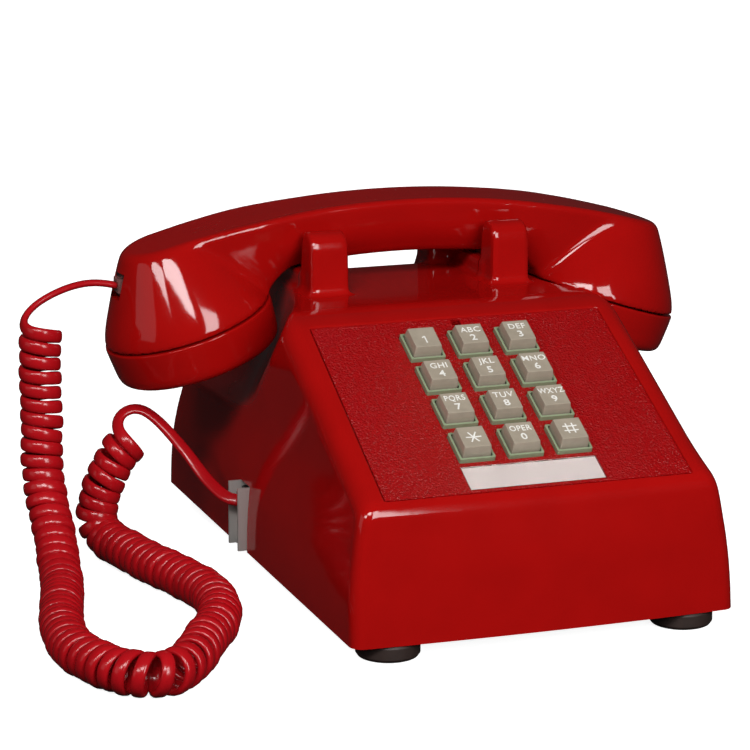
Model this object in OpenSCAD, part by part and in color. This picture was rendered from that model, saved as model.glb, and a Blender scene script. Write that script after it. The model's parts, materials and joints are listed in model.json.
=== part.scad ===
/* [Housing] */
// Overall depth of the housing at its lower edge, mm
housing_depth = 236; // [200:1:260]
// Overall width of the housing at its lower edge, mm
housing_width = 149.2; // [120:0.2:180]
// Height of the flat shelf under the handset above the table, mm
shelf_height = 105; // [80:1:125]
// Height of the lower edge of the housing above the table, mm
edge_height = 6.7; // [4:0.1:12]
// Wall thickness of the moulded housing, mm
housing_wall = 2.6; // [1.8:0.1:4]

/* [Keypad] */
// Slope of the keypad deck against the table, degrees
deck_angle = 26.7; // [15:0.1:45]
// Spacing of the push buttons in both directions, mm
key_pitch = 19.05; // [16:0.05:22]
// Distance of the keypad centre up the deck from its front edge, mm
key_centre = 55.4; // [45:0.1:65]
// How far a push button travels when it is pressed, mm
key_travel = 2.4; // [1:0.1:4]

/* [Handset] */
// Distance from cup centre to cup centre, mm
cup_spacing = 173.6; // [140:1:200]
// Largest diameter of the screwed end caps, mm
cap_diameter = 68; // [50:0.5:75]
// Tilt of the end caps toward each other, degrees
cap_tilt = 18; // [5:0.5:25]
// Height of the top of the grip above the table, mm
grip_top = 137.8; // [120:0.1:150]
// Distance the handset is lifted to clear the cradle, mm
lift_travel = 90; // [40:1:140]

/* [Cord] */
// Outer diameter of the coiled part of the cord, mm
coil_diameter = 16.4; // [12:0.2:24]
// Width of the flat cord itself, mm
cord_width = 5; // [3:0.1:7]

/* [Hidden] */
$fn = 48;

// Deck reference line: the front top edge of the housing.
deck_y = -110.2;
deck_z = 56.4;
front_y = -housing_depth / 2 + 2; // at the corners; the middle bows 2 mm forward
rear_y = housing_depth / 2;
half_base = housing_width / 2;

// Handset reference: the grip runs along X over the line y = handset_y.
handset_y = 47;
top_radius = 365;
under_radius = 345;
under_top = 115.5;
cup_x = cup_spacing / 2;
seam_z = 92.6;
cap_r = cap_diameter / 2;

// Cradle ears.
ear_in = 30;
ear_out = 45.4;
ear_face = 16.4;
ear_top = 129;
saddle_z = 112.2;

// Hook switch.
plunger_x = 37.7;
plunger_r = 2.9;
plunger_top = 112.9;
pivot_y = 20;
pivot_z = 78;

// Colours.
red = [0.6, 0.02, 0.04];
key_grey = [0.58, 0.55, 0.49];
collar_grey = [0.55, 0.6, 0.5];
steel = [0.62, 0.63, 0.65];
black = [0.08, 0.08, 0.08];
brass = [0.75, 0.6, 0.3];

// Section of the housing at height z: where its front, rear and sides are.
deck_slope = 1 / tan(deck_angle);
front_line = [[6.7, front_y], [30, -113.4], [50.5, -111], [53.6, -110.3], [55.6, -109.1],
  [57, -107.8], [58.3, -106.4], [104.1, -15.3], [104.7, -13.9], [105, -11.7]];
rear_line = [[6.7, rear_y], [24, 117.2], [40, 115.4], [48, 113.2], [55, 109.8], [62, 105.6],
  [98, 84], [102, 80.6], [104.2, 77.4], [105, 74]];
side_line = [for (p = [[6.7, 0], [16, 0.1], [24, 0.5], [31, 1.1], [40, 2.4], [49, 3.9], [56, 5],
  [62, 5.4], [99, 5.6], [102.4, 6.4], [104.3, 8.2], [105, 10.6]]) [p[0], half_base - p[1]]];
front_round = [[6.7, 4], [48, 4], [60, 5], [105, 6]];
levels = [6.7, 12, 18, 26, 34, 42, 48, 52, 54, 55.6, 57, 58.3, 63, 70, 80, 90, 98, 101, 103, 104.2,
  104.7, 105];

// Rounded outline of one level; the front edge bows forward by the given bulge.
function corner(cx, cy, r, a, n) = [for (i = [0:n]) [cx + r * cos(a + 90 * i / n),
  cy + r * sin(a + 90 * i / n)]];
function level_ring(z, d, zr) = let (
    s = lookup(zr, [[48, 1], [57, 2.2], [104, 2.2]]),
    yf = lookup(zr, front_line) + d * s, yr = lookup(zr, rear_line) - d * 1.1,
    w = lookup(zr, side_line) - d, rf = max(lookup(zr, front_round) - d, 2), rr = max(4 - d, 1.2),
    bow = lookup(zr, [[6.7, 2], [45, 1.6], [58, 0]]))
  [for (p = concat(corner(w - rr, yr - rr, rr, 0, 6), corner(-w + rr, yr - rr, rr, 90, 6),
      corner(-w + rf, yf + rf, rf, 180, 6),
      [for (k = [1:5]) [(-w + rf) + k * (w - rf) / 3, yf]],
      corner(w - rf, yf + rf, rf, 270, 6)))
    [p[0], p[1] - ((p[1] < yf + rf) ? bow * (1 - pow(p[0] / w, 2)) : 0), z]];

module stack(rings) {
  n = len(rings[0]);
  m = len(rings);
  points = [for (r = rings) each r];
  sides = [for (j = [0:m - 2]) for (i = [0:n - 1])
    [j * n + i, (j + 1) * n + i, (j + 1) * n + (i + 1) % n, j * n + (i + 1) % n]];
  polyhedron(points, concat([[for (i = [0:n - 1]) i]], sides,
    [[for (i = [n - 1:-1:0]) (m - 1) * n + i]]), convexity = 6);
}

// Solid block of the housing; d shrinks it inward, drop lowers its top.
module block(d, drop, low) stack([for (i = [0:len(levels) - 1]) let (zr = levels[i])
  level_ring(i == 0 ? low : zr - drop * max(0, (zr - 6.7) / 98.3), d, zr)]);

// Hollow swept out under each handset cup; g grows it.
module scoop(g) for (s = [-1, 1]) scale([s, 1, 1]) hull()
  for (p = [[58.5, 72.5, 70], [58.5, -37, 170], [110, -43.5, 64], [110, -153, 170], [58.5, 200, 62],
      [110, 200, 56], [58.5, 200, 170], [110, 200, 170]])
    translate(p) sphere(12 + g, $fn = 24);

// Finger pocket behind the shelf.
module pocket(g) hull() for (x = [-13, 13], p = [[73, 84], [73, 150], [150, 60], [150, 150]])
  translate([x, p[0], p[1]]) sphere(7 + g, $fn = 20);

module on_deck() translate([0, deck_y, deck_z]) rotate([deck_angle, 0, 0]) children();

function bend(p, r, a0, a1, n) = [for (i = [0:n]) [p[0] + r * cos(a0 + (a1 - a0) * i / n),
  p[1] + r * sin(a0 + (a1 - a0) * i / n)]];

// One cradle ear: rounded horn standing on the shelf from x0 to x1.
module ear_front(x0, x1) hull() for (x = [x0, x1], s = x == x0 ? 1 : -1) {
  translate([x + s * 1.5, ear_face + 1.5, shelf_height - 1]) cylinder(r = 1.5, h = 18, $fn = 24);
  translate([x + s * 1.5, 30, shelf_height - 1]) cylinder(r = 1.5, h = 16, $fn = 24);
  translate([x + s * 3, ear_face + 5.6, ear_top - 5.5]) sphere(5.5, $fn = 32);
  translate([x + s * 3, 26.6, ear_top - 3.6]) sphere(3.6, $fn = 32);
}
module ear_rear(x0, x1) hull() for (x = [x0, x1], s = x == x0 ? 1 : -1) {
  translate([x + s * 1.5, 64.2, shelf_height - 1]) cylinder(r = 1.5, h = 16, $fn = 24);
  translate([x + s * 3, 76, 98]) sphere(3, $fn = 24);
  translate([x + s * 3, 67.6, ear_top - 3.6]) sphere(3.6, $fn = 32);
  translate([x + s * 3, 71, ear_top - 5.5]) sphere(5.5, $fn = 32);
}

module housing() color(red) difference() {
  union() {
    difference() {
      block(0, 0, edge_height);
      scoop(0);
      pocket(0);
      difference() {
        block(housing_wall, housing_wall, edge_height - 1);
        scoop(housing_wall);
        pocket(housing_wall);
      }
    }
    for (s = [-1, 1]) {
      ear_front(s > 0 ? ear_in : -ear_out, s > 0 ? ear_out : -ear_in);
      ear_rear(s > 0 ? 20.5 : -ear_out, s > 0 ? ear_out : -20.5);
      translate([s * (ear_in + ear_out) / 2 - 7.7, ear_face + 10, shelf_height - 1])
        cube([15.4, 52 - 10, saddle_z - shelf_height + 1]);
    }
    for (y = [-100, 96]) translate([0, y, 9.4]) cylinder(d = 8, h = y < 0 ? 48 : 58.6);
  }
  // Opening for the keypad, and the seat of the faceplate.
  on_deck() translate([0, 0, -1.9]) linear_extrude(10)
    polygon([[-59.9, 3], [59.9, 3], [58.7, 100.4], [-58.7, 100.4]]);
  on_deck() translate([-50, 9, -14]) cube([100, 86, 20]);
  on_deck() translate([-2.7, 94, -6]) cube([3.6, 5.3, 12]);
  // Plunger holes through the saddles.
  for (x = [-plunger_x, plunger_x]) translate([x, handset_y, 90]) cylinder(r = 3.4, h = 40);
  // Screw holes in the bosses.
  for (y = [-100, 96]) translate([0, y, 9]) cylinder(d = 3, h = 16);
  // Notches for the handset cord jack and the line jack.
  translate([-80, jack_y - 6.6, 0]) cube([15, 13.2, 33]);
  translate([line_x - 6.2, 110, 0]) cube([12.4, 12, 23.2]);
}

key_names = ["1", "2", "3", "4", "5", "6", "7", "8", "9", "star", "0", "pound"];
function key_x(i) = (i % 3 - 1) * key_pitch;
function key_s(i) = key_centre + (1.5 - floor(i / 3)) * key_pitch;
module at_keys() for (i = [0:11]) on_deck() translate([key_x(i), key_s(i), 0]) children();

// Rounded rectangle, centred.
module pad(w, h, r, t) linear_extrude(t) polygon(concat(corner(w / 2 - r, h / 2 - r, r, 0, 3),
  corner(-w / 2 + r, h / 2 - r, r, 90, 3), corner(-w / 2 + r, -h / 2 + r, r, 180, 3),
  corner(w / 2 - r, -h / 2 + r, r, 270, 3)));

module faceplate() color(red) difference() {
  on_deck() translate([0, 0, -1.8]) linear_extrude(1.6)
    polygon([[-59.6, 3.3], [59.6, 3.3], [58.4, 100.1], [-58.4, 100.1]]);
  at_keys() translate([0, 0, -4]) pad(14.2, 15.3, 0.7, 8);
  on_deck() translate([-26.6, 4.9, -1.1]) cube([53.2, 12.5, 4]);
  on_deck() translate([-2.7, 96.1, -3]) cube([3.6, 3.2, 6]);
}

module number_card() color([0.9, 0.86, 0.84])
  on_deck() translate([-26.2, 5.3, -1.05]) cube([52.4, 11.7, 0.25]);

module card_window() color([0.85, 0.85, 0.85, 0.5])
  on_deck() translate([-26.4, 5.1, -0.75]) cube([52.8, 12.1, 0.5]);

module keypad_bezel() color(collar_grey) difference() {
  union() {
    on_deck() translate([-33, 14.6 + 4, -3.4]) cube([66, 75, 1.5]);
    at_keys() translate([0, 0, -3.4]) pad(13.8, 14.9, 0.6, 3.4 + 1.4);
  }
  at_keys() translate([0, 0, -5]) pad(12.1, 13.2, 0.5, 10);
}

// Push button: cap with tapering sides on a round stem.
module key(i) color(key_grey) on_deck() translate([key_x(i), key_s(i), 0]) {
  hull() {
    translate([0, 0, -3.2]) pad(11.2, 12.3, 0.5, 4);
    translate([0, 0, 3]) pad(11, 12, 0.5, 0.6);
    translate([0, 0, 5.2]) pad(10.2, 11, 0.5, 0.3);
  }
  translate([0, 0, -9.8]) cylinder(r = 2, h = 7, $fn = 32);
}
module key_1() key(0);
module key_2() key(1);
module key_3() key(2);
module key_4() key(3);
module key_5() key(4);
module key_6() key(5);
module key_7() key(6);
module key_8() key(7);
module key_9() key(8);
module key_star() key(9);
module key_0() key(10);
module key_pound() key(11);

// Guide frame: bored plate for the key stems, side rails, and four legs down to the base plate.
leg_spots = [[-47.4, -91], [41.4, -91], [-47.4, -32], [41.4, -32]];
module keypad_frame() color(steel) difference() {
  union() {
    on_deck() translate([-36, 15, -7.6]) cube([72, 80.8, 1.6]);
    for (s = [-1, 1]) on_deck() translate([s > 0 ? 34 : -36, 15, -15.6]) cube([2, 80.8, 9]);
    for (s = [-1, 1]) on_deck() translate([s > 0 ? 34 : -47, 15, -7.6]) cube([13, 80.8, 1.6]);
    for (p = leg_spots) {
      translate([p[0], p[1], 9.2]) cube([6, 1.6, p[1] < -50 ? 50 : 79]);
      translate([p[0], p[1], 9.2]) cube([6, 11, 1.6]);
    }
  }
  at_keys() translate([0, 0, -9]) cylinder(r = 2.08, h = 4);
  for (p = leg_spots) translate([p[0] + 3, p[1] + 6.5, 8]) cylinder(d = 3.2, h = 4);
}

// Rubber mat with a ring dome round every stem.
module key_mat() color([0.75, 0.73, 0.68]) difference() {
  union() {
    on_deck() translate([-33.6, 15.5, -13.4]) cube([67.2, 79.8, 1]);
    at_keys() translate([0, 0, -13.4]) cylinder(r1 = 5.2, r2 = 3.8, h = 5.2);
  }
  at_keys() translate([0, 0, -12.6]) cylinder(r = 2.5, h = 6);
}

module keypad_board() color([0.25, 0.4, 0.25]) difference() {
  on_deck() translate([-33.8, 15.3, -15.2]) cube([67.6, 80.2, 1.6]);
  for (x = [-30, 30], s = [19, 92]) on_deck() translate([x, s, -18]) cylinder(d = 2.6, h = 6);
}

module screw(d, head, l) {
  difference() {
    cylinder(d = head, h = d * 0.7);
    translate([-head, -d * 0.12, d * 0.4]) cube([2 * head, d * 0.24, d]);
  }
  translate([0, 0, -l]) cylinder(d = d, h = l + 0.1);
}

module keypad_screws() color(steel) for (p = leg_spots)
  translate([p[0] + 3, p[1] + 6.5, 10.85]) screw(2.9, 5, 4);

// Base plate: pressed steel with bearings for the volume wheel.
wheel = [55, -62, 14];
foot_spots = [[-57.6, -105.2], [57.6, -105.2], [-57.6, 103], [57.6, 103]];
hook_feet = [[-37, 20], [37, 20], [-37, 36], [37, 36]];
module base_plate() color(steel) difference() {
  union() {
    translate([0, 0, 8]) linear_extrude(1.2)
      polygon([for (p = level_ring(0, 4.7, 8)) [p[0], p[1]]]);
    for (x = [-5.2, 4]) translate([wheel[0] + x, wheel[1] - 4, 9]) cube([1.2, 8, 9]);
  }
  for (p = foot_spots) translate([p[0], p[1], 7]) cylinder(d = 6.2, h = 4);
  for (y = [-100, 96]) translate([0, y, 7]) cylinder(d = 3.4, h = 4);
  for (p = leg_spots) translate([p[0] + 3, p[1] + 6.5, 7]) cylinder(d = 3, h = 4);
  for (p = hook_feet) translate([p[0], p[1], 7]) cylinder(d = 3, h = 4);
  translate([wheel[0] - 2.8, wheel[1] - 10, 7]) cube([5.6, 20, 4]);
  translate([wheel[0] - 7, wheel[1], wheel[2]]) rotate([0, 90, 0]) cylinder(r = 1.5, h = 14);
}

module rubber_feet() color(black) for (p = foot_spots) translate([p[0], p[1], 0]) rotate_extrude()
  polygon([[0, 0], [9.6, 0], [11, 0.5], [11.75, 1.6], [11.75, 5.6], [11.2, 6.4], [8.2, 6.6], [8.2, 7.95],
    [3, 7.95], [3, 9.4], [4.4, 9.4], [4.4, 10.6], [2.6, 11.6], [0, 11.6]]);

module housing_screws() color(steel) for (y = [-100, 96]) translate([0, y, 7.95])
  rotate([180, 0, 0]) screw(2.8, 6.4, 12);

// Hook switch: frame, pivot, bail, plungers and contacts.
module hook_frame() color(steel) difference() {
  union() {
    translate([-42.8, 14, 98]) cube([85.6, 42, 1.6]);
    for (s = [-1, 1]) {
      translate([s > 0 ? 41.4 : -42.8, 14, 9.2]) cube([1.4, 28, 89]);
      translate([s > 0 ? 33 : -42.8, 14, 9.2]) cube([9.8, 28, 1.6]);
      translate([s * plunger_x, handset_y, 96.5]) cylinder(r = 4.6, h = 5.4);
    }
    translate([-42.8, 14, 62]) cube([85.6, 18, 1.6]);
  }
  for (s = [-1, 1]) translate([s * plunger_x, handset_y, 90]) cylinder(r = plunger_r + 0.08, h = 20);
  for (p = hook_feet) translate([p[0], p[1], 8]) cylinder(d = 3.2, h = 4);
  translate([-50, pivot_y, pivot_z]) rotate([0, 90, 0]) cylinder(r = 1.5, h = 100);
}

module hook_pivot_pin() color(steel) translate([-43.4, pivot_y, pivot_z]) rotate([0, 90, 0])
  cylinder(r = 1.48, h = 86.8);

module hook_bail() color([0.75, 0.72, 0.6]) difference() {
  union() {
    for (x = [-40, 36]) {
      translate([x, pivot_y - 3.4, pivot_z - 3.4]) cube([4, 6.8, 6.8]);
      translate([x, pivot_y, pivot_z]) rotate([15, 0, 0]) translate([0, 0, -1]) cube([4, 29, 2.4]);
    }
    translate([-40, pivot_y + 9, pivot_z + 1.2]) cube([80, 3, 3]);
  }
  translate([-50, pivot_y, pivot_z]) rotate([0, 90, 0]) cylinder(r = 1.54, h = 100);
}

module plunger() {
  translate([0, 0, 87.6]) cylinder(r = plunger_r, h = plunger_top - 88.4);
  translate([0, 0, plunger_top - 1]) cylinder(r1 = plunger_r, r2 = 2.2, h = 1);
  translate([0, 0, 87.6]) cylinder(r = 3.8, h = 1.6);
}
module plunger_left() color([0.85, 0.82, 0.75]) translate([-plunger_x, handset_y, 0]) plunger();
module plunger_right() color([0.85, 0.82, 0.75]) translate([plunger_x, handset_y, 0]) plunger();

module hook_contacts() color(black) {
  translate([-13, 16.4, 63.6]) cube([26, 7, 9]);
  for (x = [-10, -4, 2, 8]) color(brass) translate([x, 19, 72.5]) cube([2.4, 0.5, 3.4]);
  for (x = [-10, -4, 2, 8]) color(brass) translate([x, 21.6, 72.5]) cube([2.4, 0.5, 3.6]);
}

// Speech network in its case, with a row of screw terminals.
module network_block() color([0.3, 0.3, 0.32]) difference() {
  translate([-34, -82, 9.3]) cube([68, 46, 24]);
  translate([-36, -60, 26]) cube([72, 4, 10]);
}
module network_terminals() color(brass) for (i = [0:5], y = [-76, -43])
  translate([-27.5 + 11 * i, y, 33.3]) {
    cylinder(d = 6, h = 1);
    translate([0, 0, 1]) cylinder(d = 4.2, h = 1.6);
  }

// Ringer: coil on a frame, two gongs, clapper swinging between them.
gong_x = 29;
gong_y = 72;
module ringer_frame() color(steel) difference() {
  union() {
    translate([-24, -14, 9.3]) cube([48, 14, 1.6]);
    for (x = [-24, 22.4]) translate([x, -14, 9.3]) cube([1.6, 44, 24]);
    translate([-24, 26, 9.3]) cube([48, 4, 12]);
    translate([0, 28, 9.3]) cylinder(r = 4, h = 22);
    for (x = [-gong_x, gong_x]) {
      translate([x, gong_y, 9.3]) cylinder(r = 3.4, h = 26.6);
      translate([x > 0 ? 20 : -24, 26, 9.3]) cube([4, gong_y - 26, 1.6]);
      translate([x > 0 ? 20 : x, gong_y - 4, 9.3]) cube([9, 8, 1.6]);
    }
  }
  translate([0, 28, 20]) cylinder(r = 1.5, h = 14);
  for (x = [-gong_x, gong_x]) translate([x, gong_y, 24]) cylinder(d = 3, h = 14);
}
module ringer_coil() color([0.55, 0.3, 0.15]) translate([-22.3, -1, 23]) rotate([0, 90, 0]) {
  cylinder(r = 11, h = 44.6);
}
module gong() rotate_extrude() polygon([[1.6, 36], [8, 36.4], [15, 37], [20, 38.4], [22.6, 41], [23.4, 44],
  [23.4, 50], [22.2, 50], [22.2, 44.4], [21.6, 41.6], [19.4, 39.5], [14.8, 38.2], [8, 37.6], [1.6, 37.2]]);
module gong_left() color(brass) translate([-gong_x, gong_y, 0]) gong();
module gong_right() color(brass) translate([gong_x, gong_y, 0]) gong();
module gong_screws() color(steel) for (x = [-gong_x, gong_x]) translate([x, gong_y, 37.3])
  screw(2.8, 6, 12);
module clapper() color(steel) difference() {
  union() {
    translate([0, 28, 31.6]) cylinder(r = 4, h = 5);
    translate([-0.8, 30, 33.2]) cube([1.6, 41, 1.6]);
    translate([0, gong_y, 34]) cylinder(r = 3.2, h = 12);
    translate([-0.8, 14, 33.2]) cube([1.6, 12, 1.6]);
  }
  translate([0, 28, 30]) cylinder(r = 1.55, h = 10);
}
module clapper_pin() color(steel) translate([0, 28, 20.4]) {
  cylinder(r = 1.49, h = 17);
  translate([0, 0, 16.6]) cylinder(r = 2.6, h = 1);
}

module volume_wheel() color(black) translate(wheel) rotate([0, 90, 0]) difference() {
  union() {
    translate([0, 0, -2]) cylinder(r = 8.6, h = 4);
    for (a = [0:15:345]) rotate([0, 0, a]) translate([8.4, 0, -2]) cylinder(r = 0.7, h = 4, $fn = 16);
  }
  translate([0, 0, -3]) cylinder(r = 1.55, h = 6);
}
module wheel_pin() color(steel) translate([wheel[0] - 6, wheel[1], wheel[2]]) rotate([0, 90, 0])
  cylinder(r = 1.49, h = 12);

// Jack for the handset cord on the left wall, in a sheet-metal channel.
jack_y = 15.6;
module base_jack() color(black) difference() {
  translate([-72.8, jack_y - 5.2, 10.5]) cube([14, 10.4, 20]);
  translate([-74, jack_y - 3.9, 23]) cube([12, 7.8, 6]);
}
module jack_clip() color(steel) {
  for (y = [jack_y - 6.4, jack_y + 5.3]) translate([-78, y, 7.4]) cube([7.8, 1.1, 25.2]);
  translate([-74, jack_y - 5.4, 9.3]) cube([1.1, 10.8, 11]);
  translate([-74, jack_y - 5.2, 9.3]) cube([14, 10.4, 1.1]);
  translate([-75, jack_y, 15]) rotate([0, 90, 0]) cylinder(d = 3, h = 1.2);
}
module base_plug() color([0.55, 0.12, 0.12]) translate([-75.6, jack_y - 3.7, 23.2]) cube([11, 7.4, 5.6]);

// Line jack in the rear wall.
line_x = 30;
module line_jack() color(black) difference() {
  translate([line_x - 6, 101.4, 9.3]) cube([12, 15.8, 13.6]);
  translate([line_x - 4.9, 107, 11.4]) cube([9.8, 12, 7]);
}

// Handset: cups turned about the cap axes, joined by the arched grip.
module at_cup(s) translate([s * cup_x, handset_y, seam_z]) rotate([0, s * cap_tilt, 0]) children();
cup_line = [[0, 38.5], [8, 37], [13, 34.2], [17.4, 30.4], [21.6, 25.4], [25.2, 20.2], [28, 15.6],
  [30.4, 10.6], [32.4, 5.4], [33.6, 2], [cap_r, 0]];
cup_inner = [[0, 35.8], [7.2, 34.4], [11.6, 31.8], [15.8, 28.2], [19.7, 23.6], [23.1, 18.7], [25.7, 14.4],
  [28, 9.6], [29.9, 4.6], [31.2, -0.1], [0, -0.1]];
function grip_top_z(x) = grip_top - top_radius + sqrt(top_radius * top_radius - x * x);
function grip_low_z(x) = abs(x) < 45 ? under_top - under_radius + sqrt(under_radius * under_radius - x * x)
  : lookup(abs(x), [[45, 112.55], [49, 111.2], [53, 108.4], [57, 104.4], [61, 101.4], [66, 99.8], [110, 99]]);
function grip_outline(x, d) = let (
    zt = grip_top_z(x) - d, zb = grip_low_z(x) + d,
    wt = lookup(abs(x), [[0, 15.5], [37, 16], [62, 18.5], [90, 18], [106, 14]]) - d,
    zm = zt - lookup(abs(x), [[0, 13.5], [45, 14], [62, 18], [110, 19]]) + d,
    wm = wt - 1.3, wb = lookup(abs(x), [[0, 8], [45, 8.5], [58, 12], [110, 14]]) - d / 2,
    half = [[0, zt + 0.4], [wt - 2, zt], [wt - 0.4, zt - 0.7], [wt, zt - 2.2], [wm, zm],
      [wm - 0.6, zm - 1.2], [wb + 1, zb + 0.8], [wb - 1, zb]])
  concat(half, [for (i = [len(half) - 1:-1:1]) [-half[i][0], half[i][1]]]);
module grip_slice(x, d) translate([x, handset_y, 0]) rotate([90, 0, 90]) linear_extrude(0.02)
  polygon(grip_outline(x, d));
grip_stations = [0, 9, 18, 27, 36, 45, 49, 53, 57, 61, 65, 73, 82, 92, 101];
module grip(d) for (s = [-1, 1], i = [0:len(grip_stations) - 2]) hull() {
  grip_slice(s * grip_stations[i] * (d > 0 ? 0.92 : 1), d);
  grip_slice(s * grip_stations[i + 1] * (d > 0 ? 0.92 : 1), d);
}
module under_top_skin(d) translate([0, 100, 0]) rotate([90, 0, 0]) linear_extrude(110)
  polygon(concat([[-130, 60], [130, 60]], [for (i = [13:-1:-13]) [i * 10, grip_top_z(i * 10) + 0.2 - d]]));

module handset_shell() color(red) difference() {
  union() {
    grip(0);
    intersection() {
      for (s = [-1, 1]) at_cup(s) rotate_extrude($fn = 72) polygon(concat(cup_line, [[0, 0]]));
      under_top_skin(0);
    }
  }
  grip(2.5);
  intersection() {
    for (s = [-1, 1]) at_cup(s) rotate_extrude($fn = 60) polygon(cup_inner);
    under_top_skin(2.5);
  }
  // Opening for the cord jack in the end of the left cup.
  translate([-126, handset_y - 6, 103.1]) cube([26, 12, 10]);
}

cap_line = [[26.4, 8], [28.2, 8], [28.2, -0.6], [cap_r - 0.2, -0.6], [cap_r, -1.4], [33.9, -3.2],
  [33.2, -12.5], [32, -15.4], [29.6, -16.8], [26, -17], [14, -16.4], [0, -15.8], [0, -13.4], [14, -14],
  [26, -14.6], [29.6, -12.8], [30.8, -4], [28, -3], [26.4, -1.4]];
module cap_body() rotate_extrude($fn = 72) polygon(cap_line);
module transmitter_cap() color(red) at_cup(-1) difference() {
  cap_body();
  for (r = [5.5, 11, 16.5], a = [0:60 / (r / 5.5):359]) rotate([0, 0, a]) translate([r, 0, -18])
    cylinder(r = 1, h = 8, $fn = 16);
  translate([0, 0, -18]) cylinder(r = 1, h = 8, $fn = 16);
}
module receiver_cap() color(red) at_cup(1) difference() {
  cap_body();
  for (a = [0:60:359]) rotate([0, 0, a]) translate([6, 0, -18]) cylinder(r = 1.4, h = 8, $fn = 20);
  translate([0, 0, -18]) cylinder(r = 1.4, h = 8, $fn = 20);
}
module transmitter_capsule() color(steel) at_cup(-1) {
  translate([0, 0, -11]) cylinder(r = 21, h = 8);
  translate([0, 0, -3.1]) cylinder(r = 12, h = 3);
}
module receiver_capsule() color(black) at_cup(1) {
  translate([0, 0, -11]) cylinder(r = 21, h = 6);
  translate([0, 0, -5.1]) cylinder(r = 16, h = 8);
}
module transmitter_cup() color(black) at_cup(-1) difference() {
  translate([0, 0, -2]) cylinder(r = 25.9, h = 6);
  translate([0, 0, -4]) cylinder(r = 24, h = 6);
  for (a = [0, 120, 240]) rotate([0, 0, a]) translate([16, 0, 0]) cylinder(r = 2.2, h = 8);
}

module handset_jack() color(black) difference() {
  translate([-113.8, handset_y - 5.7, 103.4]) cube([13, 11.4, 9.4]);
  translate([-116, handset_y - 3.9, 105.2]) cube([12, 7.8, 6.2]);
}
module handset_plug() color([0.75, 0.7, 0.7]) translate([-115.4, handset_y - 3.7, 105.4])
  cube([10.6, 7.4, 5.6]);

// Route of the cord: the lead from the handset, the coil down to the table, round and back up
// toward the housing, and the lead into the jack.
lead_upper = [[-116.4, 47, 108.2], [-121.6, 46.8, 109.4], [-127, 46, 109.8], [-135, 43, 108.8],
  [-144, 40, 106], [-152, 36, 102.4], [-156, 32, 98.4]];
coil_route = [[-149, 33, 96], [-150, 32, 84], [-150, 31, 72], [-150, 30, 61], [-151, 28, 50], [-151, 24, 38],
  [-151, 17, 28], [-151, 7, 18.5], [-153, -7, 10.5], [-156, -22, 8.4], [-162, -44, 8.4], [-167, -67, 8.4],
  [-168, -88, 8.4], [-164, -104, 8.4], [-157, -117, 8.4], [-148, -123, 8.4], [-139, -119, 8.4],
  [-130, -107, 8.4], [-121, -91, 8.4], [-112, -75, 8.4], [-106, -58, 8.4], [-105, -40, 8.4], [-108, -22, 8.4],
  [-114, -1, 8.4], [-119, 20, 8.4], [-123, 35, 9.5], [-126, 42, 15], [-125, 43, 22], [-123, 43, 29],
  [-120, 43, 35], [-117, 43, 41], [-112, 43, 46.5]];
lead_lower = [[-113.5, 42, 52], [-113.5, 43.5, 56.5], [-108.5, 45, 57.8], [-102, 45, 55], [-96, 43, 48.9],
  [-89.5, 37, 39.8], [-85, 28.6, 32.2], [-81.6, 21, 28.2], [-78.4, 16.6, 26.4]];

// Round tube along a route of points.
function unit(v) = v / norm(v);
function tangent(p, i) = unit(p[min(i + 1, len(p) - 1)] - p[max(i - 1, 0)]);
function across(p) = [for (i = 0, t = tangent(p, 0), u = unit(cross(t, [0.2, 1, 0.3])); i < len(p);
  i = i + 1, t = tangent(p, min(i, len(p) - 1)), u = unit(u - (u * t) * t)) u];
module tube(p, r, n) {
  u = across(p);
  stack([for (i = [0:len(p) - 1]) [for (k = [0:n - 1])
    p[i] + r * (u[i] * cos(360 * k / n) + cross(tangent(p, i), u[i]) * sin(360 * k / n))]]);
}

module cord_lead_upper() color(red) tube(lead_upper, cord_width / 2, 8);
module cord_coil() color(red) tube(coil_route, coil_diameter / 2, 12);
module cord_lead_lower() color(red) tube(lead_lower, cord_width / 2, 8);

housing();
faceplate();
number_card();
card_window();
keypad_bezel();
key_mat();
keypad_board();
keypad_frame();
keypad_screws();
key_1();
key_2();
key_3();
key_4();
key_5();
key_6();
key_7();
key_8();
key_9();
key_star();
key_0();
key_pound();
base_plate();
rubber_feet();
housing_screws();
hook_frame();
hook_pivot_pin();
hook_contacts();
plunger_left();
plunger_right();
hook_bail();
network_block();
network_terminals();
ringer_frame();
ringer_coil();
gong_left();
gong_right();
gong_screws();
clapper();
clapper_pin();
volume_wheel();
wheel_pin();
base_jack();
jack_clip();
line_jack();
handset_shell();
transmitter_cap();
receiver_cap();
transmitter_capsule();
receiver_capsule();
transmitter_cup();
handset_jack();
handset_plug();
base_plug();
cord_lead_upper();
cord_coil();
cord_lead_lower();
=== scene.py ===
"""Push-button desk telephone in gloss red plastic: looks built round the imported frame."""
import json
import math

import bpy
import bmesh
import numpy as np
from mathutils import Matrix, Vector


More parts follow.
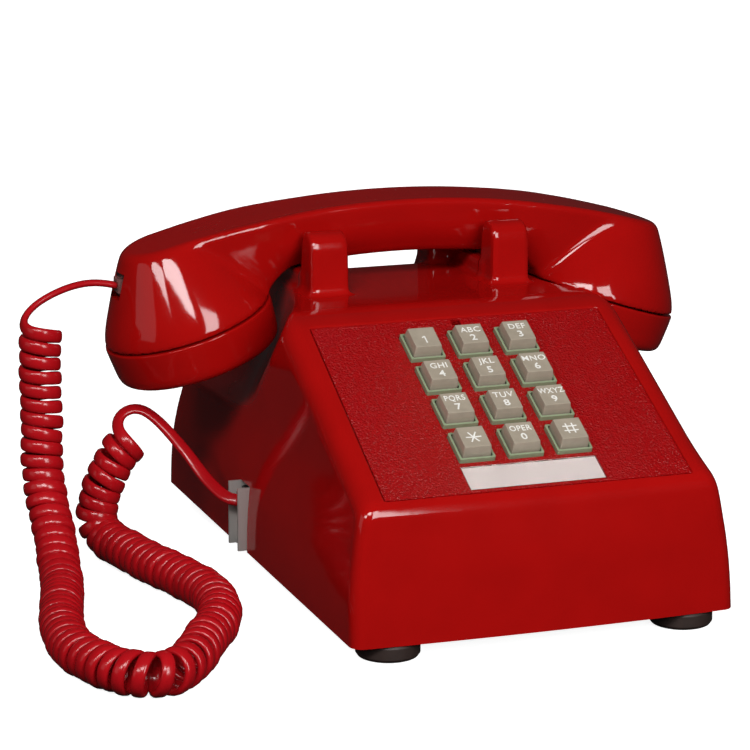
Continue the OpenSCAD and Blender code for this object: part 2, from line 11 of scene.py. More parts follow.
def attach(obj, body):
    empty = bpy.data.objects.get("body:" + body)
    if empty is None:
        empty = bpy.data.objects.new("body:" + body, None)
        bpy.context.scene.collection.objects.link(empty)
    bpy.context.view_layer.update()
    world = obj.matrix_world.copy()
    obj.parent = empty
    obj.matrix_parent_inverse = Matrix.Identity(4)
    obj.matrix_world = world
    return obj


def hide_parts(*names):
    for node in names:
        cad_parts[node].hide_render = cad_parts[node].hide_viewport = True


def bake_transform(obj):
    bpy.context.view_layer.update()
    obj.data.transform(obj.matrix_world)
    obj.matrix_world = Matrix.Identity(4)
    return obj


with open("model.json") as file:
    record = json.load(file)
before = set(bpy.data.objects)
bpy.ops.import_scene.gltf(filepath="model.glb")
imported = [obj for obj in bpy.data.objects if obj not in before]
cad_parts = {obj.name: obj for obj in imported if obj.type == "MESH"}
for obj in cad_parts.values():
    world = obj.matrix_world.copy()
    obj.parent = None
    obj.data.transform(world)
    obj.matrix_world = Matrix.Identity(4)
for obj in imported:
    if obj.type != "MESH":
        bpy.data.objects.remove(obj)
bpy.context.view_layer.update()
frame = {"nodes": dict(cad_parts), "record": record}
scene = bpy.context.scene
MM = 0.001

# Places of the CAD model that the looks are built on, in millimetres
DECK_Y, DECK_Z, DECK_ANGLE = -110.2, 56.4, math.radians(26.7)  # front edge and slope of the deck
HANDSET_Y = 47.0  # the handset's long axis
PLUNGER_X = 37.7  # the hook's two plungers, each between a pair of ears
JACK_Y, LINE_JACK_X = 15.6, 30  # jacks in the left wall and in the rear wall
HOUSING_FOOT = 6.7  # lower edge of the housing


# ---------------------------------------------------------------- camera
CAMERA_AT = (-0.41944, -1.09628, 0.36117)
CAMERA_YAW, CAMERA_PITCH, CAMERA_ROLL = 19.78, 13.75, 0.31
FOCAL_PIXELS, PHOTO_PIXELS, SENSOR_MM = 3101.95, 750, 36


def make_camera():
    yaw, pitch, roll = (math.radians(a) for a in (CAMERA_YAW, CAMERA_PITCH, CAMERA_ROLL))
    ahead = Vector((math.sin(yaw) * math.cos(pitch), math.cos(yaw) * math.cos(pitch),
                    -math.sin(pitch)))
    level = Vector((math.cos(yaw), -math.sin(yaw), 0))
    above = level.cross(ahead)
    right = level * math.cos(roll) + above * math.sin(roll)
    up = above * math.cos(roll) - level * math.sin(roll)
    data = bpy.data.cameras.new("camera")
    data.sensor_width, data.lens = SENSOR_MM, FOCAL_PIXELS / PHOTO_PIXELS * SENSOR_MM
    data.clip_start, data.clip_end = 0.05, 40
    camera = bpy.data.objects.new("camera", data)
    scene.collection.objects.link(camera)
    turn = Matrix((right, up, -ahead)).transposed().to_4x4()
    camera.matrix_world = Matrix.Translation(CAMERA_AT) @ turn
    scene.camera = camera


make_camera()


# ---------------------------------------------------------------- mesh helpers
def new_object(name, points, faces, smooth=True):
    """Object from points in millimetres."""
    mesh = bpy.data.meshes.new(name)
    points = np.asarray(points, float) * MM
    mesh.from_pydata([tuple(p) for p in points], [], [tuple(f) for f in faces])
    mesh.validate()
    if smooth:
        mesh.shade_smooth()
    obj = bpy.data.objects.new(name, mesh)
    scene.collection.objects.link(obj)
    return obj


def crease(obj, degrees):
    """Smooth shading with sharp edges above an angle."""
    obj.data.shade_smooth()
    obj.data.set_sharp_from_angle(angle=math.radians(degrees))
    return obj


def loft(rings, cap=True, closed=False):
    """Points and faces over a stack of rings with equal counts."""
    m, n = len(rings), len(rings[0])
    points = [p for r in rings for p in r]
    faces = []
    for j in range(m if closed else m - 1):
        a, b = j * n, ((j + 1) % m) * n
        faces += [(a + i, a + (i + 1) % n, b + (i + 1) % n, b + i) for i in range(n)]
    if cap and not closed:
        faces += [tuple(range(n - 1, -1, -1)), tuple(range((m - 1) * n, m * n))]
    return points, faces


def ring_of(radius, count):
    angles = [2 * math.pi * i / count for i in range(count)]
    return [(radius * math.cos(a), radius * math.sin(a)) for a in angles]


def prism(outline, z0, z1):
    return loft([[(x, y, z) for x, y in outline] for z in (z0, z1)])


def rounded(w, h, r, n, extra):
    """Rounded rectangle, centred and anticlockwise: n steps at each corner and extra points
    along each side."""
    x, y = w / 2 - r, h / 2 - r
    corners = ((x, y, 0, -2 * x, 0), (-x, y, 90, 0, -2 * y),
               (-x, -y, 180, 2 * x, 0), (x, -y, 270, 0, 2 * y))
    out = []
    for cx, cy, start, dx, dy in corners:
        for i in range(n + 1):
            t = math.radians(start + 90 * i / n)
            out.append((cx + r * math.cos(t), cy + r * math.sin(t)))
        px, py = out[-1]
        out += [(px + dx * k / (extra + 1), py + dy * k / (extra + 1))
                for k in range(1, extra + 1)]
    return out


def outward(obj):
    """Turns every face outward."""
    bm = bmesh.new()
    bm.from_mesh(obj.data)
    bmesh.ops.recalc_face_normals(bm, faces=bm.faces)
    bm.to_mesh(obj.data)
    bm.free()
    return obj


def evaluated_mesh(obj):
    bpy.context.view_layer.update()
    return bpy.data.meshes.new_from_object(
        obj.evaluated_get(bpy.context.evaluated_depsgraph_get()))


def boolean(obj, cutter, how="DIFFERENCE"):
    """Cuts or joins obj with cutter, which is used up."""
    outward(cutter)
    cut = obj.modifiers.new("cut", "BOOLEAN")
    cut.operation, cut.solver, cut.object = how, "MANIFOLD", cutter
    done = evaluated_mesh(obj)
    obj.modifiers.clear()
    obj.data = done
    bpy.data.objects.remove(cutter)
    return obj


def on_deck(points):
    """Deck coordinates (across, up the slope, out of it) to the shared frame."""
    p = np.asarray(points, float).reshape(-1, 3)
    c, s = math.cos(DECK_ANGLE), math.sin(DECK_ANGLE)
    return np.c_[p[:, 0], DECK_Y + p[:, 1] * c - p[:, 2] * s, DECK_Z + p[:, 1] * s + p[:, 2] * c]


def box_cutter(x0, x1, y0, y1, z0, z1, place=lambda p: p):
    points, faces = prism([(x0, y0), (x1, y0), (x1, y1), (x0, y1)], z0, z1)
    return new_object("cutter", place(np.array(points)), faces, False)


def disc_cutter(x, y, z0, z1, r, n=48, place=lambda p: p):
    points, faces = prism([(x + a, y + b) for a, b in ring_of(r, n)], z0, z1)
    return new_object("cutter", place(np.array(points)), faces, False)


# ---------------------------------------------------------------- smooth solids from fields
# A field gives the signed distance, in millimetres and below 0 inside, at each row of points.
def smax(a, b, k):
    """Larger of two fields, with the edge between them blended over k."""
    h = np.maximum(k - np.abs(a - b), 0)
    return np.maximum(a, b) + h * h / (4 * k)


def smin(a, b, k):
    return -smax(-a, -b, k)


def round_join(a, b, r):
    """Meeting of two half spaces with a circular edge of radius r."""
    u, v = a + r, b + r
    return np.sqrt(np.maximum(u, 0) ** 2 + np.maximum(v, 0) ** 2) \
        + np.minimum(np.maximum(u, v), 0) - r


def ease(x, a, b):
    """0 below a, 1 above b, smooth between them."""
    t = np.clip((x - a) / (b - a), 0, 1)
    return t * t * (3 - 2 * t)


def table_curve(xs, ys, sigma=4.0):
    """Smoothed interpolation of a short table over the distance from the middle."""
    step, half = 0.5, 30
    fine = np.arange(-160, 160.5, step)
    v = np.interp(np.abs(fine), xs, ys)
    k = np.exp(-0.5 * (np.arange(-half, half + 1) * step / sigma) ** 2)
    v = np.convolve(np.pad(v, half, mode="edge"), k / k.sum(), mode="valid")
    return lambda x: np.interp(x, fine, v)


def gradient(field, p, e=0.02):
    g = np.empty_like(p)
    for i in range(3):
        d = np.zeros(3)
        d[i] = e
        g[:, i] = (field(p + d) - field(p - d)) / (2 * e)
    return g


def cell_net(grid):
    """A point in each cell that the zero level crosses, in cells, and the quads between them."""
    inside = grid < 0
    cells = [n - 1 for n in grid.shape]
    total, count = np.zeros(cells + [3]), np.zeros(cells)
    crossings = []
    for axis in range(3):
        near, far = [slice(None)] * 3, [slice(None)] * 3
        near[axis], far[axis] = slice(0, -1), slice(1, None)
        near, far = tuple(near), tuple(far)
        cut = inside[near] != inside[far]
        at = np.argwhere(cut)
        g0, g1 = grid[near][cut], grid[far][cut]
        crossing = at.astype(float)
        crossing[:, axis] += g0 / (g0 - g1)
        others = [o for o in range(3) if o != axis]
        whole = np.ones(len(at), bool)
        around = []
        for shift in ((0, 0), (-1, 0), (-1, -1), (0, -1)):
            cell = at.copy()
            cell[:, others] += shift
            good = np.all((cell >= 0) & (cell < np.array(cells)), axis=1)
            whole &= good
            spot = tuple(cell[good].T)
            np.add.at(total, spot, crossing[good])
            np.add.at(count, spot, 1)
            around.append(cell)
        flip = inside[near][cut][whole] == (axis == 1)
        crossings.append((np.stack(around, 1)[whole], flip))
    index = -np.ones(cells, int)
    live = count > 0
    index[live] = np.arange(live.sum())
    faces = []
    for quads, flip in crossings:
        f = index[quads[..., 0], quads[..., 1], quads[..., 2]]
        f[flip] = f[flip][:, ::-1]
        faces.append(f)
    return total[live] / count[live][:, None], np.concatenate(faces)


def settle(field, p, faces, step):
    """Moves the points onto the zero level, and at first evens out the quads along it."""
    sides = [faces[:, [i, (i + 1) % 4]] for i in range(4)]
    edges = np.unique(np.sort(np.concatenate(sides), axis=1), axis=0)
    degree = np.bincount(edges.ravel(), minlength=len(p))[:, None]
    rounds, even_rounds = 5, 3
    for turn in range(rounds):
        for _ in range(2):
            g = gradient(field, p)
            n2 = np.maximum((g * g).sum(1), 0.05)
            shift = -(field(p) / n2)[:, None] * g
            size = np.linalg.norm(shift, axis=1)
            p += shift * np.minimum(1, step / np.maximum(size, 1e-9))[:, None]
        if turn < even_rounds:
            total = np.zeros_like(p)
            np.add.at(total, edges[:, 0], p[edges[:, 1]])
            np.add.at(total, edges[:, 1], p[edges[:, 0]])
            move = (total / degree - p) * 0.5
            g = gradient(field, p)
            n = g / np.maximum(np.linalg.norm(g, axis=1), 1e-9)[:, None]
            p += move - n * (move * n).sum(1)[:, None]
    return p


def skin(name, field, low, high, step):
    """Object over the zero level of field inside the box from low to high."""
    axes = [np.arange(a, b + step, step) for a, b in zip(low, high)]
    grid = np.empty([len(a) for a in axes])
    y, z = np.meshgrid(axes[1], axes[2], indexing="ij")
    for i, x in enumerate(axes[0]):  # one slab at a time keeps the memory low
        grid[i] = field(np.c_[np.full(y.size, x), y.ravel(), z.ravel()]).reshape(y.shape)
    p, faces = cell_net(grid)
    p = p * step + np.array([a[0] for a in axes])
    return new_object(name, settle(field, p, faces, step), faces)


# ---------------------------------------------------------------- housing
HOUSING_WALL = 2.6
EAR_HALF, EAR_TOP = 7.7, 129  # ears beside the plungers: half width and height
side_half = table_curve([0, 16, 24, 31, 40, 49, 56, 62, 99, 140],
                        [74.6, 74.5, 74.1, 73.5, 72.2, 70.7, 69.6, 69.2, 69.0, 69.0], 3.0)


def housing_body(p):
    """The housing without its ears, filled."""
    x, y, z = np.abs(p[:, 0]), p[:, 1], p[:, 2]
    w = side_half(z)
    bow = 2.0 * (1 - ease(z, 30, 60)) * (1 - np.minimum((x / w) ** 2, 1.2))
    front = -116 + 0.114 * (z - HOUSING_FOOT) - bow - y
    deck = (z - DECK_Z) * math.cos(DECK_ANGLE) - (y - DECK_Y) * math.sin(DECK_ANGLE)
    slope = (y - 105.6) * 0.8575 + (z - 62) * 0.5145
    rear = y - 118 + 0.05 * (z - HOUSING_FOOT)
    back = smax(slope, rear, 8)
    outline = smax(smax(front, deck, 4.0), smax(z - 105, back, 10), 4)
    edge = (4.5 + 3 * ease(z, 48, 66)) * (1 - 0.45 * ease(y, 60, 100))
    f = round_join(x - w, outline, edge)
    # hollow under each handset cup
    plane = 64 - (y + 43.5) / 30 - (x - 110) * 0.1916
    floor = (plane - z) / 1.0187 - 12
    slant = -((x - 58.5) * 0.8504 + (y - 72.5) * 0.3576 + (z - 70) * 0.3862) - 12
    scoop = smax(smax(46.5 - x, floor, 12), slant, 11)
    f = smax(f, -scoop, 1.8)
    # finger pocket at the rear
    floor = (84 - 7.33 - (y - 73) * 0.3117 - z) / 1.047
    pocket = smax(smax(x - 20, 66 - y, 8), floor, 8)
    return smax(f, -pocket, 2.6)


def housing_field(p):
    x, y, z = np.abs(p[:, 0]), p[:, 1], p[:, 2]
    low, top = 99 - z, z - EAR_TOP
    beside = np.abs(x - PLUNGER_X) - EAR_HALF
    front = smax(16.4 - y + 0.04 * np.maximum(z - 105, 0), top, 7.5)
    back = smax(y - 31.5 + 0.12 * np.maximum(z - 112, 0), low, 1)
    front_ear = round_join(beside, smax(front, back, 5), 1.6)
    front = smax(62.7 - y + 0.12 * np.maximum(z - 112, 0), top, 5.5)
    back = smax((y - 76.6 + 0.11 * (z - 123)) * 0.994, low, 1)
    rear_ear = round_join(np.abs(x - 32.95) - 12.45, smax(front, back, 7), 2)
    saddle = smax(smax(z - 112.2, low, 1), np.abs(y - HANDSET_Y) - 21, 2)
    saddle = round_join(beside, saddle, 1.6)
    ears = smin(smin(front_ear, rear_ear, 2), saddle, 2)
    return np.maximum(smin(housing_body(p), ears, 3), 3 - z)


def housing_cavity(p):
    """The hollow inside, which leaves two screw bosses standing."""
    f = housing_body(p) + HOUSING_WALL
    for y in (-100, 96):
        boss = np.hypot(p[:, 0], p[:, 1] - y) - 4
        f = np.maximum(f, -np.maximum(boss, 9.4 - p[:, 2]))
    return np.maximum(f, -p[:, 2])


def soft_corners(ring, r):
    """A four-sided ring with each corner replaced by a short curve."""
    out = []
    for i in range(4):
        a, b, c = (np.array(ring[j % 4]) for j in (i - 1, i, i + 1))
        u, v = (a - b) / np.linalg.norm(a - b), (c - b) / np.linalg.norm(c - b)
        for t in np.arange(5) / 4:
            out.append(tuple(b + u * r * (1 - t) ** 2 + v * r * t ** 2))
    return out


# Faceplate recess: height over the deck, and how far the outline has grown there
RECESS = [(-1.9, 0), (-0.62, 0), (-0.42, 0.03), (-0.26, 0.10), (-0.12, 0.24), (0, 0.46), (4, 5.2)]


def recess_ring(h, g):
    outline = [(-59.9 - g, 3 - g), (59.9 + g, 3 - g), (58.7 + g, 100.4 + g), (-58.7 - g, 100.4 + g)]
    return [(x, y, h) for x, y in soft_corners(outline, 1.2 + g)]


def make_housing():
    body = skin("housing_shell", housing_field, (-79, -122, 1), (79, 122, 133), 1.25)
    boolean(body, skin("cutter", housing_cavity, (-77, -120, -4), (77, 120, 106), 3.0))
    boolean(body, box_cutter(-90, 90, -130, 130, -10, HOUSING_FOOT))
    points, faces = loft([recess_ring(h, g) for h, g in RECESS])
    boolean(body, new_object("cutter", on_deck(points), faces, False))
    boolean(body, box_cutter(-50, 50, 9, 95, -14, -1, on_deck))  # keypad opening
    boolean(body, box_cutter(-2.7, 0.9, 94, 99.3, -6, -1, on_deck))  # catch notch
    for x in (-PLUNGER_X, PLUNGER_X):
        boolean(body, disc_cutter(x, HANDSET_Y, 94, 140, 3.4))
    boolean(body, box_cutter(-82, -65, JACK_Y - 6.6, JACK_Y + 6.6, 0, 33))
    boolean(body, box_cutter(LINE_JACK_X - 6.2, LINE_JACK_X + 6.2, 110, 124, 0, 23.2))
    return crease(body, 34)


# ---------------------------------------------------------------- handset
HANDSET_WALL = 2.5
CUP_X, SEAM_Z, CUP_TILT = 86.8, 92.6, math.radians(18)  # middle of each cup's seam, and its lean
TOP_Z, TOP_R = -227.2, 365  # the arc along the handset's top
UNDER_Z, UNDER_R = -229.5, 345  # the arc under the grip
grip_half = table_curve([0, 37, 62, 90, 106], [15.5, 16.0, 18.5, 18.0, 14.0])
grip_foot = table_curve([0, 45, 58, 110], [8.0, 8.5, 12.0, 14.0])
grip_line = table_curve([0, 45, 62, 110], [13.5, 14.0, 18.0, 19.0])
cup_radius = table_curve([0, 5, 10, 18, 24, 30, 34, 60],
                         [33.9, 32.3, 29.9, 25.7, 22.4, 18.9, 16.2, -2], 1.5)


def cup_local(p):
    """Coordinates along the nearer cup's own axes, from the middle of its seam."""
    dx, dz = np.abs(p[:, 0]) - CUP_X, p[:, 2] - SEAM_Z
    c, s = math.cos(CUP_TILT), math.sin(CUP_TILT)
    return dx * c - dz * s, p[:, 1] - HANDSET_Y, dx * s + dz * c


def handset_top(p):
    return np.sqrt(p[:, 0] ** 2 + (p[:, 2] - TOP_Z) ** 2) - TOP_R


def handset_solid(p):
    """The grip joined to the two domes, filled."""
    x, a, z = np.abs(p[:, 0]), np.abs(p[:, 1] - HANDSET_Y), p[:, 2]
    below_top = -handset_top(p)
    half, line = grip_half(x), grip_line(x)
    side = a - half + 0.096 * below_top
    under_z = UNDER_Z + np.sqrt(np.maximum(UNDER_R ** 2 - x ** 2, 1)) \
        - 0.045 * np.maximum(x - 44, 0) ** 2
    depth = 137.8 - TOP_R + np.sqrt(np.maximum(TOP_R ** 2 - x ** 2, 1)) - under_z
    waist = half - 1.6
    lean = (waist - grip_foot(x)) / np.maximum(depth - line, 4)
    lower = (a - waist + lean * (below_top - line)) / np.sqrt(1 + lean ** 2)
    grip = smax(smax(side, lower, 2.4), under_z - z, 3.0)
    grip = smax(grip, x - 97, 6)
    cx, cy, h = cup_local(p)
    dome = (np.hypot(cx, cy) - cup_radius(h)) * 0.88
    return smin(grip, dome, 2.6)


def seam_plane(p, drop):
    """Cuts each cup off at its seam, or at drop below it, and leaves the grip alone."""
    return np.where(np.abs(p[:, 0]) > 45, -cup_local(p)[2] - drop, -60.0)


def handset_field(p):
    return smax(smax(handset_solid(p), handset_top(p), 2.6), seam_plane(p, 0), 1.2)


def handset_cavity(p):
    f = np.maximum(handset_solid(p), handset_top(p)) + HANDSET_WALL
    return np.maximum(f, seam_plane(p, 5))


def make_handset():
    body = skin("handset_body", handset_field, (-123, 11, 76), (123, 83, 140), 1.1)
    boolean(body, skin("cutter", handset_cavity, (-123, 11, 70), (123, 83, 140), 2.2))
    boolean(body, box_cutter(-128, -100, HANDSET_Y - 6, HANDSET_Y + 6, 103.1, 113.1))
    return crease(body, 40)


def chaikin(points, times=2):
    """Closed outline with its corners cut off, times over."""
    p = np.array(points, float)
    for _ in range(times):
        q = np.roll(p, -1, axis=0)
        p = np.stack([0.75 * p + 0.25 * q, 0.25 * p + 0.75 * q], 1).reshape(-1, 2)
    return p


def at_cup(side):
    """Places cup coordinates at the mouthpiece (side -1) or the earpiece (side 1)."""
    c, s = math.cos(side * CUP_TILT), math.sin(side * CUP_TILT)
    return lambda p: np.c_[side * CUP_X + p[:, 0] * c + p[:, 2] * s, HANDSET_Y + p[:, 1],
                           SEAM_Z - p[:, 0] * s + p[:, 2] * c]


# Half section of a screw cap: radius and height, from the thread round the outside and back
CAP = [(26.4, 8), (28.2, 8), (28.2, 0.2), (28.4, -0.5), (32.8, -0.6), (33.85, -0.68),
       (34.0, -1.3), (33.95, -2.6), (33.8, -5), (33.4, -9.6), (33.1, -12.8), (32.4, -15.2),
       (30.6, -16.6), (28, -17), (22, -16.8), (10, -16.1), (2.5, -15.8), (2.5, -13.4),
       (10, -13.7), (20, -14.3), (27, -14.5), (29.4, -13.2), (30.6, -9), (30.6, -4),
       (28.2, -2.6), (26.4, -1)]


def make_cap(name, side, holes, r):
    place = at_cup(side)
    points, faces = loft([[(x, y, z) for x, y in ring_of(radius, 144)]
                          for radius, z in chaikin(CAP)], closed=True)
    cap = outward(new_object(name, place(np.array(points)), faces))
    plug = disc_cutter(0, 0, -15.85, -13.35, 2.6, 24, place)  # closes the middle of the section
    boolean(cap, plug, "UNION")
    for x, y in holes:
        boolean(cap, disc_cutter(x, y, -20, -9, r, 20, place))
    return crease(cap, 30)


# ---------------------------------------------------------------- cord
def spline(points, step):
    """Smooth curve through points, resampled at about step, with the distance along it."""
    p = np.array(points, float)
    ends = np.vstack([2 * p[0] - p[1], p, 2 * p[-1] - p[-2]])
    out = []
    for i in range(1, len(ends) - 2):
        a, b, c, d = ends[i - 1:i + 3]
        n = max(4, int(np.linalg.norm(c - b) / step) + 1)
        t = np.linspace(0, 1, n, endpoint=False)[:, None]
        out.append(0.5 * (2 * b + (c - a) * t + (2 * a - 5 * b + 4 * c - d) * t ** 2
                          + (3 * b - a - 3 * c + d) * t ** 3))
    out.append(p[-1:])
    q = np.vstack(out)
    s = np.r_[0, np.cumsum(np.linalg.norm(np.diff(q, axis=0), axis=1))]
    u = np.linspace(0, s[-1], max(8, int(s[-1] / step)))
    return np.stack([np.interp(u, s, q[:, i]) for i in range(3)], 1), u


def tangents(q):
    t = np.gradient(q, axis=0)
    return t / np.linalg.norm(t, axis=1)[:, None]


def transport(t, first):
    """Frame carried along tangents t without twisting."""
    out = np.empty_like(t)
    v = np.array(first, float)
    for i in range(len(t)):
        v = v - (v @ t[i]) * t[i]
        v = v / np.linalg.norm(v)
        out[i] = v
    return out


LEAD_UPPER = [(-115.6, 47, 108.2), (-121.4, 46.8, 109.4), (-127.5, 46.2, 109.8), (-135, 44.4, 109),
              (-143.5, 42, 106.6), (-151, 40, 103), (-155.2, 38, 99.8), (-156.4, 35.6, 97.6)]
COIL_ROUTE = [(-149, 33, 96), (-150, 32, 84), (-150, 31, 72), (-150, 30, 61), (-151, 28, 50),
              (-151, 24, 38), (-151, 17, 28), (-151, 7, 18.5), (-153, -7, 10.5), (-156, -22, 8.4),
              (-162, -44, 8.4), (-167, -67, 8.4), (-168, -88, 8.4), (-164, -104, 8.4),
              (-157, -117, 8.4), (-148, -123, 8.4), (-139, -119, 8.4), (-130, -107, 8.4),
              (-121, -91, 8.4), (-112, -75, 8.4), (-106, -58, 8.4), (-105, -40, 8.4),
              (-108, -22, 8.4), (-114, -1, 8.4), (-119, 20, 8.4), (-123, 35, 9.5), (-126, 42, 15),
              (-125, 43, 22), (-123, 43, 29), (-120, 43, 35), (-117, 43, 41), (-112, 43, 46.5)]
LEAD_LOWER = [(-117.4, 45.6, 53.6), (-115.2, 47, 56.8), (-110.6, 47, 58.6), (-105.5, 46, 57.4),
              (-100.5, 44.6, 53.6), (-95.5, 42, 47.9), (-90, 36.6, 40.4), (-85.8, 29.6, 33.4),
              (-82.2, 22.6, 28.9), (-79, 17.6, 26.7), (-75, 15.6, 26.0)]
# Distance along the route, and the pitch of the turns there
PITCH = [(0, 5.3), (10, 5.6), (62, 5.6), (80, 5.2), (100, 5.1), (190, 5.1), (215, 5.6), (236, 6.2),
         (246, 7.8), (254, 8.0), (264, 6.2), (285, 5.1), (299, 5.1), (306, 10.5), (313, 5.1),
         (400, 5.1), (455, 5.6), (480, 7.0), (492, 8.8), (530, 9.2)]
CORD_W, CORD_T, COIL_R = 5.0, 2.7, 6.85
ROUTE_STEP, LEAD_STEP, TURN_POINTS, SECTION_POINTS = 0.5, 1.8, 22, 14
COIL_END = np.array((-0.74, 0, 0.67))  # side on which the last turn ends
JOIN_REACH, JOIN_ROUNDS = 7, 14  # points to either side of a join, and rounds of relaxing
PLUG_SIDE_UPPER, PLUG_SIDE_LOWER = (0, 0, 1), (-0.4, -0.7, 0.6)  # where the flat faces at each plug


def make_coil():
    """Points of the coil, the direction outward from its route at each, and its turns."""
    route, s = spline(COIL_ROUTE, ROUTE_STEP)
    tangent = tangents(route)
    side = transport(tangent, (-1, 0, 0))
    rate = 2 * math.pi / np.interp(s, *zip(*PITCH))
    phase = np.r_[0, np.cumsum((rate[1:] + rate[:-1]) / 2 * np.diff(s))]
    last = math.atan2(COIL_END @ np.cross(side[-1], tangent[-1]), COIL_END @ side[-1])
    wanted = 2 * math.pi * round((phase[-1] - last) / (2 * math.pi)) + last
    phase = phase * wanted / phase[-1]
    f = np.linspace(0, phase[-1], int(phase[-1] / (2 * math.pi) * TURN_POINTS))
    at = np.interp(f, phase, s)
    c, t, u = (np.stack([np.interp(at, s, v[:, i]) for i in range(3)], 1)
               for v in (route, tangent, side))
    radial = u * np.cos(f)[:, None] + np.cross(u, t) * np.sin(f)[:, None]
    wander = 0.18 * np.sin(f * 0.37) + 0.12 * np.sin(f * 0.83 + 1)
    return c + radial * (COIL_R + wander)[:, None], radial, wanted / (2 * math.pi)


def twisted(frames, ts, goal, at_end):
    """Adds an even twist so that the flat side at the free end faces goal."""
    i = -1 if at_end else 0
    g = np.array(goal, float)
    g = g - (g @ ts[i]) * ts[i]
    g /= np.linalg.norm(g)
    angle = math.atan2(g @ np.cross(ts[i], frames[i]), g @ frames[i])
    if angle > math.pi / 2:
        angle -= math.pi
    if angle < -math.pi / 2:
        angle += math.pi
    share = np.linspace(0, 1, len(frames)) if at_end else np.linspace(1, 0, len(frames))
    a = (angle * share)[:, None]
    return frames * np.cos(a) + np.cross(ts, frames) * np.sin(a)


def cord_section():
    """Flat oval with full edges: across the cord, and out from the coil."""
    section = []
    for ca, sa in ring_of(1, SECTION_POINTS):
        section.append((CORD_W / 2 * math.copysign(abs(ca) ** 0.75, ca),
                        CORD_T / 2 * math.copysign(abs(sa) ** 0.85, sa)))
    return section


def make_cord():
    helix, radial, turns = make_coil()
    upper, _ = spline(LEAD_UPPER + [tuple(helix[1])], LEAD_STEP)
    lower, _ = spline([tuple(helix[-2])] + LEAD_LOWER, LEAD_STEP)
    line = np.vstack([upper[:-1], helix[1:-1], lower[1:]])
    start, end = len(upper) - 1, len(line) - len(lower) + 1  # the coil's span in the line
    weight = np.zeros(len(line))
    for middle in (start - 4, end + 3):
        reach = np.arange(-JOIN_REACH, JOIN_REACH + 1)
        weight[middle + reach] = 0.5 + 0.5 * np.cos(math.pi * reach / (JOIN_REACH + 1))
    for _ in range(JOIN_ROUNDS):  # relax the joins between the leads and the coil
        line[1:-1] += 0.5 * weight[1:-1, None] * ((line[:-2] + line[2:]) / 2 - line[1:-1])
    tangent = tangents(line)
    normal = np.empty_like(line)
    normal[start:end] = radial[1:-1]
    up = transport(tangent[:start][::-1], radial[1])[::-1]
    down = transport(tangent[end:], radial[-2])
    normal[:start] = twisted(up, tangent[:start], PLUG_SIDE_UPPER, False)
    normal[end:] = twisted(down, tangent[end:], PLUG_SIDE_LOWER, True)
    normal -= (normal * tangent).sum(1)[:, None] * tangent
    normal /= np.linalg.norm(normal, axis=1)[:, None]
    across = np.cross(tangent, normal)
    section = cord_section()
    points, faces = loft([[p + x * a + n * b for a, b in section]
                          for p, x, n in zip(line, across, normal)])
    length = np.linalg.norm(np.diff(line, axis=0), axis=1).sum() * MM
    return outward(new_object("coiled_cord", points, faces)), line * MM, length, turns


cord, cord_line, cord_length, turns = make_cord()
print("cord", round(cord_length, 3), "m,", round(turns, 1), "turns")
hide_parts("cord_lead_upper", "cord_coil", "cord_lead_lower")
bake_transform(cord)


# ---------------------------------------------------------------- materials
def set_inputs(node, **values):
    for key, value in values.items():
        node.inputs[key.replace("_", " ")].default_value = value


def material(name, color, rough, bumps=(), variety=0.05, variety_scale=120, rough_span=0.03,
             rough_scale=500, metallic=0.0, stretch=None, **settings):
    """Principled surface with varied colour, varied roughness and layered bump.
    Scales are per metre; bumps holds (kind, scale, depth in mm) triples; settings holds
    further shader inputs, with _ for a space."""
    m = bpy.data.materials.new(name)
    m.use_nodes = True
    nodes, links = m.node_tree.nodes, m.node_tree.links
    shader = nodes["Principled BSDF"]
    where = nodes.new("ShaderNodeTexCoord").outputs["Object"]
    if stretch:
        mapping = nodes.new("ShaderNodeMapping")
        set_inputs(mapping, Scale=stretch)
        links.new(where, mapping.inputs["Vector"])
        where = mapping.outputs["Vector"]

    def noise(scale, detail):
        n = nodes.new("ShaderNodeTexNoise")
        set_inputs(n, Scale=scale, Detail=detail)
        links.new(where, n.inputs["Vector"])
        return n.outputs["Fac"]

    ramp = nodes.new("ShaderNodeValToRGB")
    dark, light = ramp.color_ramp.elements
    dark.position, light.position = 0.3, 0.7
    for e, k in ((dark, 1 - variety), (light, 1 + variety)):
        e.color = (*(min(c * k, 1) for c in color), 1)
    links.new(noise(variety_scale, 3.0), ramp.inputs["Fac"])
    links.new(ramp.outputs["Color"], shader.inputs["Base Color"])
    spread = nodes.new("ShaderNodeMapRange")
    set_inputs(spread, To_Min=max(rough - rough_span, 0.02), To_Max=rough + rough_span)
    links.new(noise(rough_scale, 4), spread.inputs["Value"])
    links.new(spread.outputs["Result"], shader.inputs["Roughness"])
    normal = None
    for kind, scale, depth in bumps:
        if kind == "noise":
            height = noise(scale, 4)
        else:
            v = nodes.new("ShaderNodeTexVoronoi")
            v.feature = kind
            set_inputs(v, Scale=scale)
            links.new(where, v.inputs["Vector"])
            height = v.outputs["Distance"]
        b = nodes.new("ShaderNodeBump")
        set_inputs(b, Strength=1.0, Distance=depth * MM)
        links.new(height, b.inputs["Height"])
        if normal:
            links.new(normal, b.inputs["Normal"])
        normal = b.outputs["Normal"]
    if normal:
        links.new(normal, shader.inputs["Normal"])
    set_inputs(shader, Metallic=metallic, **settings)
    m.diffuse_color = (*color, 1)
    return m


